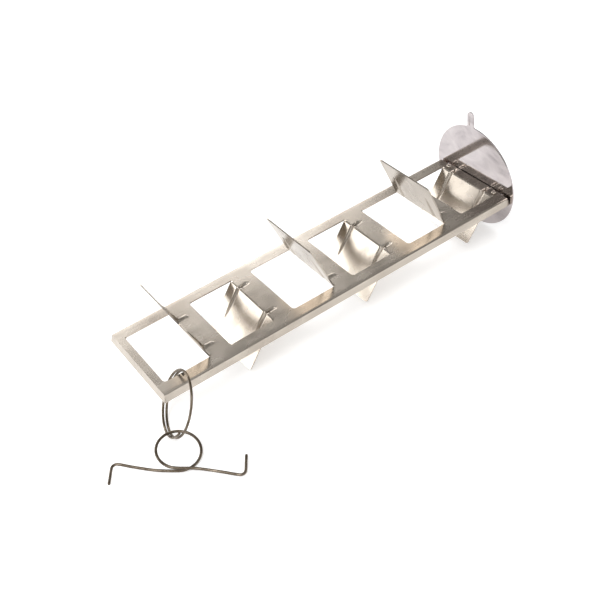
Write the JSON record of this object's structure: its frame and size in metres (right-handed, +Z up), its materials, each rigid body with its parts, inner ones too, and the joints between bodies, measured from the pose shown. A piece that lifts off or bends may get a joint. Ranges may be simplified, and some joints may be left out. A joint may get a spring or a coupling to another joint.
{
  "type": "baffle strip with end plate, ring and wire hanger",
  "caption": "Long pressed sheet-metal strip with lanced flaps bent up and down, a round end plate riveted to one end, and a split ring and looped wire hanger at the other.",
  "frame": {"origin": "under the middle of the whole part, on the surface it stands on", "axes": "+X runs along the strip from the ring to the end plate, +Y runs across it from the rail with the ring to the other rail, +Z is up"},
  "size_m": [0.3784, 0.1512, 0.1002],
  "materials": {
    "sheet": "satin",
    "plate": "polished",
    "wire": "dull"
  },
  "bodies": {
    "strip": {"baffle_strip": "sheet", "end_plate": "plate", "front_rivet": "sheet", "rear_rivet": "sheet"},
    "ring": {"split_ring": "wire"},
    "hanger": {"wire_hanger": "wire"}
  },
  "joints": [
    {"name": "ring_swing", "type": "hinge", "parent": "strip", "child": "ring", "pos_m": [-0.13112, -0.00274, 0.02914], "axis": [0.9996, 0, 0.0297], "range_deg": [-80, 35]},
    {"name": "hanger_swing", "type": "hinge", "parent": "ring", "child": "hanger", "pos_m": [-0.13718, -0.01673, 0.00709], "axis": [-0.9931, 0.107, 0.047], "range_deg": [-85, 45]}
  ]
}
